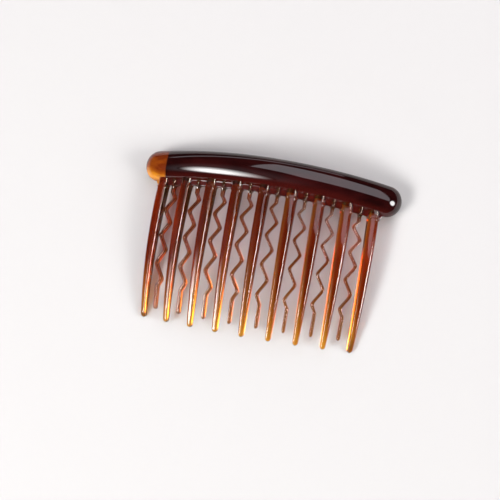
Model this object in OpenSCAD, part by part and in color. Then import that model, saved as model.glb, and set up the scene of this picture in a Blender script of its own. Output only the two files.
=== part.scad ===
// A side comb for the hair: a bowed spine with straight teeth, and a thin wavy tooth in each gap.
// It lies hollow side down. X runs along the spine, the teeth point to -Y, and the origin is on
// the table under the middle of the comb.

/* [Spine] */
// Radius of the arc that the spine follows
arc_r = 86; // [75:1:120]
// Lean of the plane of that arc, away from square to the teeth, which gives the spine its crown
arc_lean = 17; // [5:1:25]
// Height of the spine, measured along the teeth
spine_h = 10.2; // [8:0.2:12]
// Depth of the spine, from its hair side to its front
spine_d = 7.8; // [6:0.1:10]
// Distance of the middle of the spine behind the middle of the teeth
set_back = 1; // [0:0.1:1.2]
// Length of the spine past the middle of each outer tooth
overhang = 8.1; // [8:0.1:12]

/* [Rail] */
// Height of the rail under the spine, which the teeth grow from
rail_h = 1.5; // [1:0.1:3]
// Depth of the rail
rail_d = 3.2; // [3:0.1:5]

/* [Straight teeth] */
// Number of straight teeth
straight_count = 9; // [5:2:11]
// Distance along the arc from one straight tooth to the next
pitch = 9; // [8.8:0.1:11]
// Distance from the lower edge of the spine to the tip of the middle tooth
reach = 48; // [40:0.5:60]
// Distance by which the line of the tips falls back at the outer teeth
tip_fall = 0.9; // [0:0.1:3]
// Distance by which every tooth bows to the front, halfway along
tooth_bow = 1.4; // [0:0.1:2]
// Distance by which every tooth curls to the hair side, at full reach
tip_curl = 2; // [0:0.1:3]
// Width of a straight tooth below its root
straight_w = 4.3; // [3:0.1:4.3]
// Width of a straight tooth at its tip
straight_tip_w = 2; // [1.4:0.1:2.8]
// Depth of a straight tooth at its root
straight_d = 3; // [2:0.1:3.2]
// Depth of a straight tooth at its tip
straight_tip_d = 1.7; // [1.2:0.1:2]
// Part of the width that the front of a straight tooth loses against its back
front_narrowing = 0.2; // [0:0.05:0.5]

/* [Wavy teeth] */
// Distance by which a wavy tooth is shorter than the straight ones beside it
wavy_shorter = 3.4; // [1:0.1:6]
// Width of the wavy bar
wavy_w = 1.35; // [1:0.05:1.8]
// Depth of the wavy bar
wavy_d = 1.6; // [1:0.1:2.2]
// Swing of the waves to each side
swing = 1.25; // [0.6:0.05:1.4]
// Number of bends, which swing towards the middle of the comb and away from it by turns
bend_count = 7; // [3:2:7]
// Part by which the spacing of the bends grows from the root to the tip
bend_growth = 0.14; // [0:0.02:0.3]
// Length of the straight stretch above the first bend, from the lower edge of the spine
lead_in = 4.1; // [3.5:0.1:5]
// Length of the straight stretch below the last bend
lead_out = 8; // [5:0.1:10]

/* [Roots] */
// Radius of the small arches between the roots of the teeth
root_fillet = 0.8; // [0.4:0.05:0.8]

/* [Hidden] */

spine_color = [0.27, 0.08, 0.04];
tooth_color = [0.42, 0.15, 0.06];
wavy_color = [0.55, 0.24, 0.10];

spine_sides = 24;      // corners of the oval of the spine
straight_sides = 12;   // corners of a straight tooth's section
wavy_sides = 8;        // corners of a wavy tooth's section
arc_facets = 720;      // facets of a whole turn of the spine's arc
ball_facets = 96;      // facets of a ball round its axis
squareness = 0.55;     // 1 makes a tooth's section round, and less makes it squarer
width_hold = 1.9;      // 1 tapers a straight tooth's width evenly, and more holds it for longer
depth_hold = 1.5;      // the same for its depth
wave_point = 0.93;     // 0 makes a bend a sine, and 1 makes it a sharp zigzag
shaft_rings = 10;      // rings of a straight tooth between its root and its tip
rings_per_bend = 5;
tip_round = 1;         // length of the rounded end of a tooth
wavy_root_d = 2.9;     // depth of a wavy tooth where it meets the rail
rail_sink = 2;         // depth that the rail runs up into the spine
ball_step = 0.05;      // inset of the ball at an end of the spine from the oval
ball_sink = 0.3;       // depth of the ball's middle inside the flat end of the oval

up = [0, 0, 1];
half_span = (straight_count - 1) / 2 * pitch;
outer_turn = turn(half_span);
ball_turn = turn(half_span + overhang - spine_h / 2);
end_turn = ball_turn + turn(ball_sink);
ball_h = spine_h - 2 * ball_step;
ball_d = spine_d - 2 * ball_step;

// The comb rests on the round ends of its spine and on the tips of its outer teeth.
outer_face = face_turn(outer_turn);
tip_drop = (straight_tip_d / 2 - curve(straight_len(outer_turn) - tip_round)) * cos(outer_face)
           + straight_tip_w / 2 * squareness * sin(outer_face);
tip_foot = [0, tip_fall + tip_round - reach, arc_point(outer_turn).z - tip_drop];
rest_tilt = atan((tip_foot.z - ball_foot(up)) / (ball_middle().y - tip_foot.y));
rest_lift = -ball_foot([0, sin(rest_tilt), cos(rest_tilt)]);
mid_wavy_len = reach - wavy_shorter;
back_y = spine_h / 2 * cos(rest_tilt) + set_back * sin(rest_tilt)
         + norm([spine_h / 2 * cos(rest_tilt), spine_d / 2 * sin(rest_tilt)]);
front_y = -reach * cos(rest_tilt) - curve(reach) * sin(rest_tilt);

// Angle on the arc of a point that lies this far along it from the middle
function turn(along) = along / arc_r * 180 / PI;

// Directions at a turn: across the comb, along the height of the spine, and through its depth
function outward(a) = [sin(a), cos(a) * sin(arc_lean), cos(a) * cos(arc_lean)];
function axle() = [0, cos(arc_lean), -sin(arc_lean)];
function across(a) = [cos(a), -sin(a) * sin(arc_lean), -sin(a) * cos(arc_lean)];
function height_way(a) = sin(arc_lean) * outward(a) + cos(arc_lean) * axle();
function depth_way(a) = cos(arc_lean) * outward(a) - sin(arc_lean) * axle();

// Point of the spine's lower edge at a turn, level with the middle of the teeth
function arc_point(a) = arc_r * (outward(a) - outward(0));

// Middle of the ball at the +X end of the spine
function ball_middle() =
    arc_point(ball_turn) + spine_h / 2 * height_way(ball_turn) - set_back * depth_way(ball_turn);

// Level of the lowest point of that ball in the direction up
function ball_foot(up) =
    ball_middle() * up - norm([
        ball_h / 2 * (across(ball_turn) * up),
        ball_h / 2 * (height_way(ball_turn) * up),
        ball_d / 2 * (depth_way(ball_turn) * up)
    ]);

// Curve of a tooth towards its front at a distance below the spine
function curve(t) =
    4 * tooth_bow * (t / reach) * (1 - t / reach) - tip_curl * pow(t / reach, 2);

// Sign-keeping power, which squares a circle off
function soft(v, power) = sign(v) * pow(abs(v), power);

// One ring of a tooth at y, its middle at x and z, spread sideways by flare and through its
// depth by deepen. The ring lies in a plane that slopes with x and z, as the rail does.
function ring(sides, x, y, z, w, d, narrowing, flare, deepen, slope) = [
    for (i = [0:sides - 1])
        let (
            a = (i + 0.5) * 360 / sides,
            u = soft(cos(a), squareness),
            v = soft(sin(a), squareness),
            px = x + u * (w / 2 * (1 - narrowing * (1 + v) / 2) + flare),
            pz = z + v * (d / 2 + deepen)
        )
        [px, y + slope[0] * px + slope[1] * pz, pz]
];

// Closed solid over a list of rings with the same number of corners
module sweep(rings) {
    sides = len(rings[0]);
    last = len(rings) - 1;
    walls = [
        for (r = [0:last - 1], i = [0:sides - 1])
            let (j = (i + 1) % sides)
            [r * sides + i, (r + 1) * sides + i, (r + 1) * sides + j, r * sides + j]
    ];
    root_face = [for (i = [0:sides - 1]) i];
    tip_face = [for (i = [sides - 1:-1:0]) last * sides + i];
    polyhedron([for (r = rings) each r], concat(walls, [root_face, tip_face]));
}

// Slopes of the rail's underside across a tooth and through its depth
function land_slope(a) =
    let (
        face = face_turn(a),
        h = height_way(a)
    )
    [-(h.x * cos(face) - h.z * sin(face)) / h.y, -(h.x * sin(face) + h.z * cos(face)) / h.y];

// Angle about Y by which the front of a tooth at a turn looks outward
function face_turn(a) = atan(tan(a) * cos(arc_lean));

// Distance from the lower edge of the spine to the rail's underside, along a tooth
function land_y(a) = -rail_h / height_way(a).y;

// Length of a straight tooth below the spine's lower edge at a turn, down to the line of the tips
function straight_len(a) = reach + arc_point(a).y - tip_fall * pow(sin(a) / sin(outer_turn), 2);

// Turns of the tooth at position i of a row that is centred on the comb
function straight_turn(i) = turn((i - 1) * pitch - half_span);
function wavy_turn(i) = turn((i - 0.5) * pitch - half_span);

// The comb as it lies on the table
module laid_down() {
    translate([0, -(back_y + front_y) / 2, rest_lift])
        rotate([rest_tilt, 0, 0])
            children();
}

// A child that is drawn at its root, moved to its turn on the arc
module at_turn(a) {
    translate(arc_point(a))
        rotate([0, face_turn(a), 0])
            children();
}

// Frame of the spine's arc, with Z on its axle and -Y through its middle
module arc_frame() {
    translate(-arc_r * outward(0))
        rotate([-90 - arc_lean, 0, 0])
            children();
}

// Part of a ring round the axle, from a section whose x is depth and whose y is height
module along_arc(half_turn) {
    arc_frame()
        rotate_extrude(angle = 2 * half_turn, start = -90 - half_turn, $fn = arc_facets)
            translate([arc_r, 0])
                rotate(-arc_lean)
                    children();
}

// Oval with these half widths in x and y
module oval(half_x, half_y) {
    polygon([
        for (i = [0:spine_sides - 1])
            let (a = i * 360 / spine_sides)
            [half_x * cos(a), half_y * sin(a)]
    ]);
}

// Section of the spine, standing on its lower edge
module spine_section() {
    translate([-set_back, spine_h / 2])
        oval(spine_d / 2, spine_h / 2);
}

// Flattened ball that rounds off one end of the spine, for side 1 or -1. It is a little smaller
// than the oval all round and stands in its flat end, so that the two cross cleanly.
module spine_ball(side) {
    arc_frame()
        rotate(side * ball_turn - 90)
            translate([arc_r, 0, 0])
                rotate([0, arc_lean, 0])
                    translate([-set_back, 0, spine_h / 2])
                        rotate([0, 90, 0])
                            rotate_extrude($fn = ball_facets)
                                intersection() {
                                    oval(ball_h / 2, ball_d / 2);
                                    translate([0, -ball_d])
                                        square([ball_h, 2 * ball_d]);
                                }
}

module spine() {
    rail_half_turn = outer_turn + turn(straight_w / 2 + root_fillet);
    color(spine_color)
        union() {
            along_arc(end_turn) spine_section();
            along_arc(rail_half_turn)
                translate([-rail_d / 2, -rail_h])
                    square([rail_d, rail_h + rail_sink]);
            for (side = [-1, 1]) spine_ball(side);
        }
}

// Rings of a root fillet, as [distance below the rail, flare]
function fillet_steps() = [
    for (f = [0:22.5:90])
        [root_fillet * (1 - cos(f)), root_fillet * (1 - sin(f))]
];

// Rings of a rounded tip, as [distance before its end, part of the full section]
function tip_steps() = [for (f = [25, 50, 75]) [tip_round * (1 - sin(f)), cos(f)]];

// Straight tooth number i: deepest at its root, and narrower at its front than at its back
module straight_tooth(i) {
    a = straight_turn(i);
    top = land_y(a);
    length = straight_len(a);
    shaft_end = length - tip_round;
    shaft_top = -top + root_fillet;
    // Width and depth at a distance below the spine
    function wide(t) =
        straight_w - (straight_w - straight_tip_w) * pow(t / length, width_hold);
    function deep(t) =
        straight_d - (straight_d - straight_tip_d) * pow(t / length, depth_hold);
    function tooth_ring(t, part, flare, slope) =
        ring(straight_sides, 0, -t, curve(t), part * wide(t), part * deep(t), front_narrowing,
             flare, 0, slope);
    color(tooth_color)
        at_turn(a)
            sweep(concat(
                [for (s = fillet_steps()) tooth_ring(s[0] - top, 1, s[1], land_slope(a))],
                [for (k = [1:shaft_rings])
                    tooth_ring(shaft_top + (shaft_end - shaft_top) * k / shaft_rings, 1, 0,
                               [0, 0])],
                [for (s = tip_steps()) tooth_ring(length - s[0], s[1], 0, [0, 0])]
            ));
}

// Wavy tooth number i: its first bend swings towards the middle of the comb
module wavy_tooth(i) {
    a = wavy_turn(i);
    top = land_y(a);
    length = straight_len(a) - wavy_shorter;
    inward = a < 0 ? 1 : -1;
    scale = length / mid_wavy_len;
    bend_span = mid_wavy_len - lead_in - lead_out;
    ring_count = bend_count * rings_per_bend;
    // Distance below the spine, and swing, where this part of all the bends is past
    function bend_at(part) =
        scale * (lead_in + bend_span * part * (1 - bend_growth * (1 - part)));
    function wave(part) =
        inward * swing * asin(wave_point * sin(180 * bend_count * part)) / asin(wave_point);
    function bar_ring(t, x, part, flare, slope) =
        ring(wavy_sides, x, -t, curve(t), part * wavy_w, part * wavy_d, 0, flare,
             flare / root_fillet * (wavy_root_d - wavy_d) / 2, slope);
    color(wavy_color)
        at_turn(a)
            sweep(concat(
                [for (s = fillet_steps()) bar_ring(s[0] - top, 0, 1, s[1], land_slope(a))],
                [for (k = [0:ring_count])
                    bar_ring(bend_at(k / ring_count), wave(k / ring_count), 1, 0, [0, 0])],
                [bar_ring(length - tip_round, 0, 1, 0, [0, 0])],
                [for (s = tip_steps()) bar_ring(length - s[0], 0, s[1], 0, [0, 0])]
            ));
}

laid_down() spine();
for (i = [1:straight_count])
    laid_down() straight_tooth(i);
for (i = [1:straight_count - 1])
    laid_down() wavy_tooth(i);
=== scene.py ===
import math

import bmesh
import bpy
from mathutils import Matrix, Vector


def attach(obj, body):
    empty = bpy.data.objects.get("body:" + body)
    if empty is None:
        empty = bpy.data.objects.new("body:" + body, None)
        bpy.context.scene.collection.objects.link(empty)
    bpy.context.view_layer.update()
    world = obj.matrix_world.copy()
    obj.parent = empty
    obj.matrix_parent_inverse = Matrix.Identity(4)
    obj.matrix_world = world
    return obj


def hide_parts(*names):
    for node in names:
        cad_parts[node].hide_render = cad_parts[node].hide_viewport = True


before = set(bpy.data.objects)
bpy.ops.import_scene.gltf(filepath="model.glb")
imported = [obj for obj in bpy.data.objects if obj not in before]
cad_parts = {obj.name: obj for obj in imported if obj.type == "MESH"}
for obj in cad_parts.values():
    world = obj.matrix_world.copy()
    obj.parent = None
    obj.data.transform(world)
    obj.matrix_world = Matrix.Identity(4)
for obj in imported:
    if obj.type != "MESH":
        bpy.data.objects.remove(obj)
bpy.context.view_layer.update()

# ---- Dimensions of the comb, in millimetres ----
# They are the frame's own, except that the rail, the roots and the teeth's sections are finer.

MM = 0.001

ARC_R = 86.0
ARC_LEAN = math.radians(17)
SPINE_H = 10.2
SPINE_D = 7.8
SET_BACK = 1.0
OVERHANG = 8.1

RAIL_H = 1.5
RAIL_FRONT = 0.45
RAIL_BACK = 1.1
RAIL_CORNER = 0.25
RAIL_JOIN = 0.3
RAIL_END = 1.5
RAIL_STOP = 1.1
RAIL_FADE = 0.5

STRAIGHT_COUNT = 9
PITCH = 9.0
REACH = 48.0
TIP_FALL = 0.9
TOOTH_BOW = 1.4
TIP_CURL = 2.0
STRAIGHT_W = 4.3
STRAIGHT_TIP_W = 2.0
STRAIGHT_D = 3.0
STRAIGHT_TIP_D = 1.56

# Powers of a straight tooth's taper: the higher, the longer it keeps its root size
WIDTH_HOLD = 1.9
DEPTH_HOLD = 1.5

WAVY_SHORTER = 3.4
WAVY_W = 1.35
WAVY_D = 1.6
WAVY_ROOT_D = 2.5
ROOT_SWELL = 1.6
SWING = 1.25
BEND_COUNT = 7
BEND_GROWTH = 0.14
LEAD_IN = 4.1
LEAD_OUT = 8.0

# Sharpness of the bends, up to 1 for corners
WAVE_POINT = 0.93

ROOT_FILLET = 0.8
TIP_ROUND = 1.0
ROOT_SINK = 0.9
LAND_GAP = 0.1
SKIN = 0.05
END_TRIM = 0.03

# Parts of a tooth's width: how much narrower its front is, its crown, and its round corners
STRAIGHT_NARROWING = 0.3
WAVY_NARROWING = 0.35
FRONT_CROWN = 0.07
FRONT_CORNER = 0.2
BACK_CORNER = 0.25

# What the comb rests on in the frame: its outer tips, and the balls that end its spine
REST_TIP_D = 1.7
SQUARENESS = 0.55
BALL_STEP = 0.05

HALF_SPAN = (STRAIGHT_COUNT - 1) / 2 * PITCH


# ---- Shape of the arc ----

def turn(along):
    """Angle on the arc of a point this far along it from the middle of the comb."""
    return along / ARC_R


def outward(a):
    """Direction from the middle of the arc to its point at turn a."""
    return Vector((
        math.sin(a),
        math.cos(a) * math.sin(ARC_LEAN),
        math.cos(a) * math.cos(ARC_LEAN),
    ))


def across(a):
    """Direction along the spine at turn a."""
    return Vector((
        math.cos(a),
        -math.sin(a) * math.sin(ARC_LEAN),
        -math.sin(a) * math.cos(ARC_LEAN),
    ))


AXLE = Vector((0, math.cos(ARC_LEAN), -math.sin(ARC_LEAN)))


def height_way(a):
    """Direction up the height of the spine at turn a."""
    return outward(a) * math.sin(ARC_LEAN) + AXLE * math.cos(ARC_LEAN)


def depth_way(a):
    """Direction through the depth of the spine at turn a, from the hair side to the front."""
    return outward(a) * math.cos(ARC_LEAN) - AXLE * math.sin(ARC_LEAN)


def arc_point(a):
    """Point of the spine's lower edge at turn a, level with the middle of the teeth."""
    return ARC_R * (outward(a) - outward(0))


def face_turn(a):
    """Angle about Y by which the front of a tooth at turn a looks outward."""
    return math.atan(math.tan(a) * math.cos(ARC_LEAN))


OUTER_TURN = turn(HALF_SPAN)
BALL_TURN = turn(HALF_SPAN + OVERHANG - SPINE_H / 2)
HALF_H = SPINE_H / 2 - SKIN
HALF_D = SPINE_D / 2 - SKIN
MID_WAVY_LEN = REACH - WAVY_SHORTER


def curve(t):
    """Offset of a tooth towards its front at a distance below the spine."""
    return 4 * TOOTH_BOW * (t / REACH) * (1 - t / REACH) - TIP_CURL * (t / REACH) ** 2


def straight_length(a):
    """Distance from the spine's lower edge to the tip of a straight tooth at turn a."""
    return REACH + arc_point(a).y - TIP_FALL * (math.sin(a) / math.sin(OUTER_TURN)) ** 2


def laid_matrix():
    """Moves the comb from its own axes to where it lies on the table."""
    ball_h = SPINE_H / 2 - BALL_STEP
    ball_d = SPINE_D / 2 - BALL_STEP
    middle = (arc_point(BALL_TURN) + SPINE_H / 2 * height_way(BALL_TURN)
              - SET_BACK * depth_way(BALL_TURN))

    def ball_foot(up):
        reach = Vector((
            ball_h * across(BALL_TURN).dot(up),
            ball_h * height_way(BALL_TURN).dot(up),
            ball_d * depth_way(BALL_TURN).dot(up),
        ))
        return middle.dot(up) - reach.length

    face = face_turn(OUTER_TURN)
    tip_curve = curve(straight_length(OUTER_TURN) - TIP_ROUND)
    tip_drop = ((REST_TIP_D / 2 - tip_curve) * math.cos(face)
                + STRAIGHT_TIP_W / 2 * SQUARENESS * math.sin(face))
    foot_y = TIP_FALL + TIP_ROUND - REACH
    foot_z = arc_point(OUTER_TURN).z - tip_drop
    tilt = math.atan((foot_z - ball_foot(Vector((0, 0, 1)))) / (middle.y - foot_y))
    lift = -ball_foot(Vector((0, math.sin(tilt), math.cos(tilt))))
    back_y = (SPINE_H / 2 * math.cos(tilt) + SET_BACK * math.sin(tilt)
              + math.hypot(SPINE_H / 2 * math.cos(tilt), SPINE_D / 2 * math.sin(tilt)))
    front_y = -REACH * math.cos(tilt) - curve(REACH) * math.sin(tilt)
    return (Matrix.Translation((0, -(back_y + front_y) / 2, lift))
            @ Matrix.Rotation(tilt, 4, "X"))


LAID = laid_matrix()
REST = Matrix.Scale(MM, 4) @ LAID


# ---- Meshes ----

def loft(name, rings, place):
    """Closed mesh over rings that have the same number of points."""
    sides = len(rings[0])
    verts = [place @ Vector(p) for ring in rings for p in ring]
    faces = []
    for r in range(len(rings) - 1):
        for i in range(sides):
            j = (i + 1) % sides
            faces.append((r * sides + i, (r + 1) * sides + i, (r + 1) * sides + j, r * sides + j))
    last = (len(rings) - 1) * sides
    faces.append(tuple(range(sides)))
    faces.append(tuple(last + i for i in reversed(range(sides))))
    mesh = bpy.data.meshes.new(name)
    mesh.from_pydata(verts, [], faces)
    shell = bmesh.new()
    shell.from_mesh(mesh)
    bmesh.ops.recalc_face_normals(shell, faces=shell.faces)
    shell.to_mesh(mesh)
    shell.free()
    for polygon in mesh.polygons:
        polygon.use_smooth = True
    piece = bpy.data.objects.new(name, mesh)
    bpy.context.scene.collection.objects.link(piece)
    return piece


def oval_point(angle):
    """Point of the spine's oval as (depth, height)."""
    return (-SET_BACK + HALF_D * math.cos(angle), SPINE_H / 2 + HALF_H * math.sin(angle))


def oval_under(depth):
    """Point of the oval's underside at this depth."""
    return oval_point(-math.acos((depth + SET_BACK) / HALF_D))


def half_rail(side):
    """Outline of one half of the rail, from the middle of its underside out to the oval."""
    edge = RAIL_FRONT if side == 1 else RAIL_BACK
    points = [(side * edge * part, -RAIL_H) for part in (0, 0.15, 0.3)]
    for step in range(6):
        angle = math.radians(-90 + 18 * step)
        points.append((side * (edge - RAIL_CORNER + RAIL_CORNER * math.cos(angle)),
                       -RAIL_H + RAIL_CORNER + RAIL_CORNER * math.sin(angle)))
    meet = oval_under(side * edge)
    end = oval_under(side * (edge + RAIL_JOIN))
    start = (side * edge, meet[1] - RAIL_JOIN)
    points.append((side * edge, (points[-1][1] + start[1]) / 2))
    for step in range(7):
        t = step / 6
        points.append(tuple((1 - t) ** 2 * s + 2 * t * (1 - t) * m + t * t * e
                            for s, m, e in zip(start, meet, end)))
    return points


def spine_outline(rail):
    """Section of the spine as (depth, height), with this part of its rail standing out."""
    outline = []
    for side in (1, -1):
        points = half_rail(side)
        span = (RAIL_FRONT if side == 1 else RAIL_BACK) + RAIL_JOIN
        half = []
        for i, point in enumerate(points):
            plain = oval_under(side * span * i / (len(points) - 1))
            half.append(tuple(p + rail * (q - p) for p, q in zip(plain, point)))
        if side == 1:
            outline += half
            front_end = -math.acos((span + SET_BACK) / HALF_D)
            back_end = -math.acos((SET_BACK - RAIL_BACK - RAIL_JOIN) / HALF_D)
            way = back_end + 2 * math.pi - front_end
            steps = 56
            outline += [oval_point(front_end + way * k / steps) for k in range(1, steps)]
        else:
            outline += reversed(half[1:])
    return outline


def rail_part(a):
    """How far the rail stands out at turn a: not inside a straight tooth or past its ends."""
    along = abs(a) * ARC_R
    end = HALF_SPAN + STRAIGHT_W / 2 + ROOT_FILLET
    into = min(max((along - end + RAIL_END) / RAIL_END, 0), 1)
    off_tooth = abs((along + PITCH / 2) % PITCH - PITCH / 2)
    out = min(max((off_tooth - RAIL_STOP) / RAIL_FADE, 0), 1)
    return math.sqrt(1 - into ** 2) * out


def make_spine():
    """Bowed oval bar with a rail under it and round ends."""
    round_steps = 14
    stations = 340

    def ring_at(a, outline, along=0.0, part=1.0):
        middle = (-SET_BACK, SPINE_H / 2)
        base = arc_point(a) + across(a) * along
        return [
            base + depth_way(a) * (middle[0] + part * (d - middle[0]))
            + height_way(a) * (middle[1] + part * (h - middle[1]))
            for d, h in outline
        ]

    def round_end(side):
        plain = spine_outline(0)
        made = []
        for k in range(1, round_steps + 1):
            angle = math.radians(89) * k / round_steps
            made.append(ring_at(side * BALL_TURN, plain,
                                side * (HALF_H - END_TRIM) * math.sin(angle), math.cos(angle)))
        return made

    turns = [BALL_TURN * (2 * k / stations - 1) for k in range(stations + 1)]
    rings = list(reversed(round_end(-1)))
    rings += [ring_at(a, spine_outline(rail_part(a))) for a in turns]
    rings += round_end(1)
    return loft("spine_body", rings, REST)


def place_ring(section, x, y, z, slope=(0, 0)):
    """A section of (across, depth) points set at x, y and z, in a plane that slopes."""
    return [(x + u, y + slope[0] * (x + u) + slope[1] * (z + v), z + v) for u, v in section]


def bend_corner(before, corner, after, size):
    """Points that round off a corner between two straight sides, over this much of each."""
    steps = 6
    corner = Vector(corner)
    start = corner + (Vector(before) - corner).normalized() * size
    end = corner + (Vector(after) - corner).normalized() * size
    return [(1 - t) ** 2 * start + 2 * t * (1 - t) * corner + t * t * end
            for t in (k / steps for k in range(steps + 1))]


def tooth_section(w, d, narrowing, flare=0.0):
    """Section of a tooth as (across, depth): a narrower crowned front, and a flat back."""
    rise = FRONT_CROWN * w
    back = w / 2
    front = back * (1 - narrowing)
    shoulder = d / 2 - rise
    right = bend_corner((0, -d / 2), (back, -d / 2), (front, shoulder), BACK_CORNER * w)
    right += bend_corner((back, -d / 2), (front, shoulder), (0, shoulder), FRONT_CORNER * w)
    right += [Vector((front * part, shoulder)) for part in (0.35, 0.22, 0.1)]
    outline = (right + [Vector((0, shoulder))] + [Vector((-p.x, p.y)) for p in reversed(right)]
               + [Vector((0, -d / 2))])
    section = []
    for p in outline:
        crown = rise * (1 - (p.x / back) ** 2) * (p.y + d / 2) / (d - rise)
        section.append((p.x * (1 + flare / back), p.y + crown))
    return section


def root_rings(section, slope, top):
    """Rings of a tooth from inside the spine's underside down to the rail's underside."""
    rings = []
    for k in range(6):
        part = k / 5
        ring = []
        for x, z in section:
            level = (1 - part) * (oval_under(z)[1] + ROOT_SINK) - part * (top - LAND_GAP)
            ring.append((x, level + slope[0] * x + slope[1] * z, z))
        rings.append(ring)
    return rings


def land_slope(a):
    """Slopes of the rail's underside across a tooth at turn a and through its depth."""
    face = face_turn(a)
    h = height_way(a)
    return (-(h.x * math.cos(face) - h.z * math.sin(face)) / h.y,
            -(h.x * math.sin(face) + h.z * math.cos(face)) / h.y)


def land_depth(a):
    """Distance along a tooth at turn a from the spine's lower edge to the rail's underside."""
    return RAIL_H / height_way(a).y


def fillet_steps():
    """Root fillet as (distance below the rail, flare)."""
    steps = []
    for k in range(9):
        f = math.radians(90 * k / 8)
        steps.append((ROOT_FILLET * (1 - math.cos(f)), ROOT_FILLET * (1 - math.sin(f))))
    return steps


def tip_steps():
    """Rounded tip as (distance before its end, part of the full section)."""
    return [(TIP_ROUND * (1 - math.sin(math.radians(f))), math.cos(math.radians(f)))
            for f in (12, 24, 36, 47, 57, 66, 74, 80, 85)]


def at_turn(a):
    """Moves a tooth from its root to its place on the arc."""
    return REST @ Matrix.Translation(arc_point(a)) @ Matrix.Rotation(face_turn(a), 4, "Y")


def make_straight_tooth(number):
    """Straight tooth: it runs up over the rail into the spine, and tapers to its tip."""
    a = turn((number - 1) * PITCH - HALF_SPAN)
    slope = land_slope(a)
    top = land_depth(a)
    length = straight_length(a) - END_TRIM

    def ring(t, part=1.0, flare=0.0, level=0.0):
        along = t / length
        w = STRAIGHT_W - (STRAIGHT_W - STRAIGHT_TIP_W) * along ** WIDTH_HOLD
        d = STRAIGHT_D - (STRAIGHT_D - STRAIGHT_TIP_D) * along ** DEPTH_HOLD
        section = tooth_section(part * w, part * d, STRAIGHT_NARROWING, flare)
        return place_ring(section, 0, -t, curve(t), (slope[0] * level, slope[1] * level))

    rings = root_rings(tooth_section(STRAIGHT_W, STRAIGHT_D, STRAIGHT_NARROWING), slope, top)
    rings += [ring(top + s, 1, flare, 1) for s, flare in fillet_steps()]
    start = top + ROOT_FILLET
    end = length - TIP_ROUND
    shaft = 40
    level_out = 4
    for k in range(1, shaft + 1):
        rings.append(ring(start + (end - start) * k / shaft, 1, 0, max(0, 1 - k / level_out)))
    rings += [ring(length - s, part) for s, part in tip_steps()]
    return loft(f"straight_prong_{number}", rings, at_turn(a))


def make_wavy_tooth(number):
    """Wavy tooth: its first bend swings towards the middle of the comb."""
    a = turn((number - 0.5) * PITCH - HALF_SPAN)
    slope = land_slope(a)
    top = land_depth(a)
    length = straight_length(a) - WAVY_SHORTER
    scale = length / MID_WAVY_LEN
    bend_span = MID_WAVY_LEN - LEAD_IN - LEAD_OUT
    inward = 1 if a < 0 else -1
    per_bend = 16

    def ring(t, x=0.0, part=1.0, flare=0.0, level=0.0):
        swell = min(max((top + ROOT_SWELL - t) / ROOT_SWELL, 0), 1) ** 2
        d = WAVY_D + (WAVY_ROOT_D - WAVY_D) * swell
        section = tooth_section(part * WAVY_W, part * d, WAVY_NARROWING, flare)
        return place_ring(section, x, -t, curve(t), (slope[0] * level, slope[1] * level))

    def bend_at(part):
        return scale * (LEAD_IN + bend_span * part * (1 - BEND_GROWTH * (1 - part)))

    def wave(bends):
        return (inward * SWING * math.asin(WAVE_POINT * math.sin(math.pi * bends))
                / math.asin(WAVE_POINT))

    rings = root_rings(tooth_section(WAVY_W, WAVY_ROOT_D, WAVY_NARROWING), slope, top)
    rings += [ring(top + s, 0, 1, flare, 1) for s, flare in fillet_steps()]
    first = bend_at(0)
    for k in range(1, 5):
        rings.append(ring(top + ROOT_FILLET + (first - top - ROOT_FILLET) * k / 5))
    for k in range(BEND_COUNT * per_bend + 1):
        rings.append(ring(bend_at(k / BEND_COUNT / per_bend), wave(k / per_bend)))
    last = bend_at(1)
    for k in range(1, 9):
        rings.append(ring(last + (length - TIP_ROUND - last) * k / 8))
    rings += [ring(length - s, 0, part) for s, part in tip_steps()]
    return loft(f"wavy_prong_{number}", rings, at_turn(a))


# ---- Materials ----

PLASTIC_IOR = 1.49
ABSORB = (0.81, 0.48, 0.12)
SPINE_CLEAR = 0.1
TEETH_CLEAR = 0.975

# Where the painted light changes, in millimetres: the amber end, painted as if lit through from
# behind, in X, and from dark to light in it in Y
AMBER_END = -34.5
AMBER_EDGE = 0.3
AMBER_DARK_Y = 26.0
AMBER_LIGHT_Y = 16.0

# Height of the painted light over the spine's lower edge, a lighter and warmer band
EDGE_LIGHT_HEIGHT = 3.5

# The teeth's painted glow between these two in Y, and the X by which its lighter side has swapped
GLOW_ROOT_Y = 0.0
GLOW_TIP_Y = -27.0
GLOW_SWAP_X = 12.0


def clear_plastic(name, transmission, density, stretch):
    """Glossy moulded plastic with faint flow marks. It returns the material, a function that
    adds a node to it, its stretched coordinates and its shader."""
    material = bpy.data.materials.new(name)
    material.use_nodes = True
    tree = material.node_tree
    tree.nodes.clear()

    def add(kind, inputs, **values):
        node = tree.nodes.new(kind)
        for key, value in values.items():
            setattr(node, key, value)
        for key, value in inputs.items():
            if isinstance(value, bpy.types.NodeSocket):
                tree.links.new(value, node.inputs[key])
            else:
                node.inputs[key].default_value = value
        return node

    place = add("ShaderNodeTexCoord", {})
    flow = add("ShaderNodeMapping", {"Vector": place.outputs["Object"], "Scale": stretch})
    haze = add("ShaderNodeTexNoise", {"Vector": flow.outputs["Vector"], "Scale": 300,
                                      "Detail": 3})
    gloss = add("ShaderNodeMapRange", {"Value": haze.outputs["Fac"], "From Min": 0.3,
                                       "From Max": 0.7, "To Min": 0.02, "To Max": 0.07})
    dents = add("ShaderNodeBump", {"Height": haze.outputs["Fac"], "Strength": 0.03,
                                   "Distance": 0.0001})
    shader = add("ShaderNodeBsdfPrincipled", {
        "Transmission Weight": transmission,
        "IOR": PLASTIC_IOR,
        "Roughness": gloss.outputs["Result"],
        "Normal": dents.outputs["Normal"],
    })
    volume = add("ShaderNodeVolumeAbsorption", {"Color": (*ABSORB, 1), "Density": density})
    add("ShaderNodeOutputMaterial", {"Surface": shader.outputs["BSDF"],
                                     "Volume": volume.outputs["Volume"]})
    return material, add, flow, shader


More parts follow.
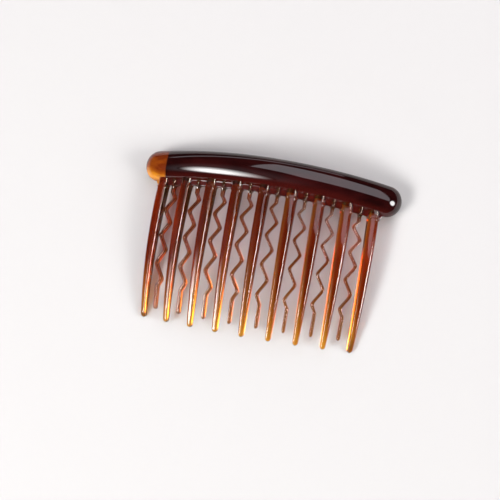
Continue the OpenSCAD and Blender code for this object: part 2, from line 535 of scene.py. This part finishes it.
def ramp(add, source, low, high, stops):
    """Colour ramp over a value from low to high, evenly through the stops."""
    node = add("ShaderNodeValToRGB", {"Fac": source})
    elements = node.color_ramp.elements
    while len(elements) < len(stops):
        elements.new(0.5)
    for k, color in enumerate(stops):
        elements[k].position = low + (high - low) * k / (len(stops) - 1)
        elements[k].color = (*color, 1)
    return node.outputs["Color"]


def blend(material, add, part, first, second, shader):
    """Base colour that goes from the first colour to the second as part goes from 0 to 1."""
    mixed = add("ShaderNodeMix", {"Factor": part}, data_type="RGBA")
    colors = [socket for socket in mixed.inputs if socket.type == "RGBA"]
    result = [socket for socket in mixed.outputs if socket.type == "RGBA"][0]
    links = material.node_tree.links
    links.new(first, colors[0])
    links.new(second, colors[1])
    links.new(result, shader.inputs["Base Color"])


def spine_material():
    """Nearly black red-brown, with painted light: lighter and warmer along its lower edge, and
    one amber end painted as if lit through from behind.
    """
    material, add, flow, shader = clear_plastic(
        "spine_brown", SPINE_CLEAR, 2600, (0.5, 1.5, 1.5))
    clouds = add("ShaderNodeTexNoise", {"Vector": flow.outputs["Vector"], "Scale": 150,
                                        "Detail": 3})
    dark = ramp(add, clouds.outputs["Fac"], 0.35, 0.65,
                [(0.008, 0.0006, 0.0006), (0.021, 0.0019, 0.0018)])
    place = add("ShaderNodeTexCoord", {})
    axes = add("ShaderNodeSeparateXYZ", {"Vector": place.outputs["Object"]})
    # Painted light: the amber end stands for light shining through the spine from behind, lighter
    # towards the spine's lower edge
    lower = add("ShaderNodeMapRange", {"Value": axes.outputs["Y"],
                                       "From Min": AMBER_DARK_Y * MM,
                                       "From Max": AMBER_LIGHT_Y * MM,
                                       "To Min": -0.25, "To Max": 0.25})
    glow = add("ShaderNodeMath", {0: clouds.outputs["Fac"], 1: lower.outputs["Result"]},
               operation="ADD")
    amber = ramp(add, glow.outputs["Value"], 0.30, 0.75,
                 [(0.13, 0.018, 0.002), (0.27, 0.060, 0.004), (0.70, 0.27, 0.015)])
    # The spine's lower edge falls away from its middle with the square of X
    square = add("ShaderNodeMath", {0: axes.outputs["X"], 1: axes.outputs["X"]},
                 operation="MULTIPLY")
    height = add("ShaderNodeMath", {0: square.outputs["Value"],
                                    1: math.sin(ARC_LEAN) / (2 * ARC_R * MM),
                                    2: axes.outputs["Y"]}, operation="MULTIPLY_ADD")
    edge_y = (LAID @ Vector((0, 0, 0))).y * MM
    above = add("ShaderNodeMapRange", {"Value": height.outputs["Value"],
                                       "From Min": edge_y,
                                       "From Max": edge_y + EDGE_LIGHT_HEIGHT * MM})
    # Painted light: a lighter, warmer band over the spine's lower edge lifts the shade under the
    # tooth tops and along the rail
    edge_light = ramp(add, above.outputs["Result"], 0, 1, [(0.035, 0.003, 0.0012), (0, 0, 0)])
    brown = add("ShaderNodeVectorMath", {0: edge_light, 1: dark}, operation="ADD").outputs["Vector"]
    inside = add("ShaderNodeMapRange", {
        "Value": axes.outputs["X"],
        "From Min": (AMBER_END - AMBER_EDGE) * MM,
        "From Max": (AMBER_END + AMBER_EDGE) * MM,
    })
    blend(material, add, inside.outputs["Result"], amber, brown, shader)
    return material


def tooth_material(name, density, stretch, root_stops, tip_stops, glow_side):
    """Clear red-brown with a painted glow that turns it amber towards the tips, first on the side
    of each tooth that is towards the middle of the comb, where light glowing through the teeth is
    painted."""
    material, add, flow, shader = clear_plastic(name, TEETH_CLEAR, density, stretch)
    clouds = add("ShaderNodeTexNoise", {"Vector": flow.outputs["Vector"], "Scale": 90,
                                        "Detail": 2})
    root = ramp(add, clouds.outputs["Fac"], 0.35, 0.65, root_stops)
    tip = ramp(add, clouds.outputs["Fac"], 0.35, 0.65, tip_stops)
    place = add("ShaderNodeTexCoord", {})
    axes = add("ShaderNodeSeparateXYZ", {"Vector": place.outputs["Object"]})
    # Painted glow: the amber that grows towards the tips, first on the side towards the comb's
    # middle, stands for light glowing through the teeth
    along = add("ShaderNodeMapRange", {"Value": axes.outputs["Y"],
                                       "From Min": GLOW_ROOT_Y * MM,
                                       "From Max": GLOW_TIP_Y * MM})
    middle = add("ShaderNodeMapRange", {"Value": axes.outputs["X"],
                                        "From Min": -GLOW_SWAP_X * MM,
                                        "From Max": GLOW_SWAP_X * MM,
                                        "To Min": 0.55, "To Max": -1})
    own = add("ShaderNodeSeparateXYZ", {"Vector": place.outputs["Generated"]})
    side = add("ShaderNodeMapRange", {"Value": own.outputs["X"], "From Min": 0.38,
                                      "From Max": 0.62, "To Min": -glow_side,
                                      "To Max": glow_side})
    part = add("ShaderNodeMath", {0: side.outputs["Result"], 1: middle.outputs["Result"],
                                  2: along.outputs["Result"]},
               operation="MULTIPLY_ADD", use_clamp=True)
    blend(material, add, part.outputs["Value"], root, tip, shader)
    return material


spine_plastic = spine_material()
tooth_plastic = tooth_material(
    "tooth_brown", 1000, (1.4, 0.4, 1.4),
    [(0.37, 0.060, 0.007), (0.74, 0.15, 0.013)], [(1.0, 0.58, 0.06), (1.0, 0.76, 0.10)], 0.55)
wavy_plastic = tooth_material(
    "wavy_brown", 2700, (1.4, 0.6, 1.4),
    [(0.60, 0.24, 0.06), (0.85, 0.38, 0.10)], [(0.80, 0.62, 0.16), (0.95, 0.80, 0.24)], 0.1)


def finish_piece(piece, node, material):
    """Gives a piece its body and its finish, and hides the frame node that it stands for."""
    piece.data.materials.append(material)
    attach(piece, "root")
    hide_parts(node)


finish_piece(make_spine(), "spine", spine_plastic)
for number in range(1, STRAIGHT_COUNT + 1):
    finish_piece(make_straight_tooth(number), f"straight_tooth_{number}",
                 tooth_plastic)
for number in range(1, STRAIGHT_COUNT):
    finish_piece(make_wavy_tooth(number), f"wavy_tooth_{number}",
                 wavy_plastic)


# ---- Floor, light and camera ----

def make_floor():
    """Plain pale table top."""
    half = 3.0
    mesh = bpy.data.meshes.new("table")
    mesh.from_pydata([(-half, -half, 0), (half, -half, 0), (half, half, 0), (-half, half, 0)],
                     [], [(0, 1, 2, 3)])
    floor = bpy.data.objects.new("table", mesh)
    bpy.context.scene.collection.objects.link(floor)
    material = bpy.data.materials.new("table_pale")
    material.use_nodes = True
    shader = material.node_tree.nodes["Principled BSDF"]
    shader.inputs["Base Color"].default_value = (0.45, 0.441, 0.432, 1)
    shader.inputs["Roughness"].default_value = 0.7
    mesh.materials.append(material)


def fade_edge(light, edge):
    """Fades a light out over this part of its width, towards its edge."""
    light.use_nodes = True
    nodes = light.node_tree.nodes
    links = light.node_tree.links
    geometry = nodes.new("ShaderNodeNewGeometry")
    centred = nodes.new("ShaderNodeVectorMath")
    centred.operation = "SUBTRACT"
    centred.inputs[1].default_value = (0.5, 0.5, 0)
    far = nodes.new("ShaderNodeVectorMath")
    far.operation = "LENGTH"
    fade = nodes.new("ShaderNodeMapRange")
    fade.interpolation_type = "SMOOTHSTEP"
    fade.inputs["From Min"].default_value = 0.5
    fade.inputs["From Max"].default_value = 0.5 - 0.5 * edge
    links.new(geometry.outputs["Parametric"], centred.inputs[0])
    links.new(centred.outputs["Vector"], far.inputs[0])
    links.new(far.outputs["Value"], fade.inputs["Value"])
    links.new(fade.outputs["Result"], nodes["Emission"].inputs["Strength"])


def lamp(name, shape, place, size, turns, radiance, color, edge):
    """Lamp that faces down before its turns in degrees. Edge is how much of it fades out."""
    light = bpy.data.lights.new(name, "AREA")
    light.shape = shape
    light.size, light.size_y = size
    light.energy = radiance * math.pi * size[0] * size[1]
    light.color = color
    if edge:
        fade_edge(light, edge)
    holder = bpy.data.objects.new(name, light)
    holder.location = place
    holder.rotation_euler = [math.radians(angle) for angle in turns]
    bpy.context.scene.collection.objects.link(holder)


WHITE = (1, 1, 1)
COOL = (0.97, 0.93, 1.0)
lamp("round_lamp", "ELLIPSE", (-0.95, -0.86, 1.25), (1.5, 1.5), (0, 0, 25), 27, WHITE, 1)
lamp("halo_lamp", "ELLIPSE", (-1.1, -0.8, 1.25), (3.0, 2.4), (0, 0, 25), 0.8, COOL, 1)
lamp("panel_lamp", "RECTANGLE", (0.42, 0.88, 1.25), (1.65, 1.65), (0, 0, -5), 2.6, COOL, 0)
lamp("side_lamp", "ELLIPSE", (2.2, -0.3, 1.35), (1.85, 1.3), (0, 90, 0), 18, WHITE, 0.4)
lamp("back_lamp", "RECTANGLE", (-1.6, 2.5, 1.0), (4.4, 0.35), (-90, 14.7, 0), 1.8, COOL, 0)

world = bpy.data.worlds.new("room")
world.use_nodes = True
world.node_tree.nodes["Background"].inputs["Color"].default_value = (0.9, 0.92, 1.0, 1)
world.node_tree.nodes["Background"].inputs["Strength"].default_value = 0.04
bpy.context.scene.world = world
bpy.context.scene.view_settings.view_transform = "Standard"


CAMERA_ANGLES = (79.926, 77.691, -70.333)
CAMERA_AIM = (-1.304, -20.171, 0)
CAMERA_DISTANCE = 530.66
CAMERA_LENS = 119.94


def make_camera():
    """Camera above the comb. Its angles and aim are in the comb's own axes."""
    azimuth, elevation, roll = (math.radians(v) for v in CAMERA_ANGLES)
    back = Vector((
        math.sin(azimuth) * math.cos(elevation),
        -math.cos(azimuth) * math.cos(elevation),
        math.sin(elevation),
    ))
    flat_right = Vector((math.cos(azimuth), math.sin(azimuth), 0))
    flat_up = back.cross(flat_right)
    right = flat_right * math.cos(roll) + flat_up * math.sin(roll)
    up = back.cross(right)
    camera = bpy.data.cameras.new("camera")
    camera.lens = CAMERA_LENS
    camera.clip_start = 0.05
    eye = bpy.data.objects.new("camera", camera)
    turned = Matrix((right, up, back)).transposed().to_4x4()
    placed = LAID @ Matrix.Translation(Vector(CAMERA_AIM) + back * CAMERA_DISTANCE) @ turned
    placed.translation *= MM
    eye.matrix_world = placed
    bpy.context.scene.collection.objects.link(eye)
    bpy.context.scene.camera = eye


make_floor()
make_camera()
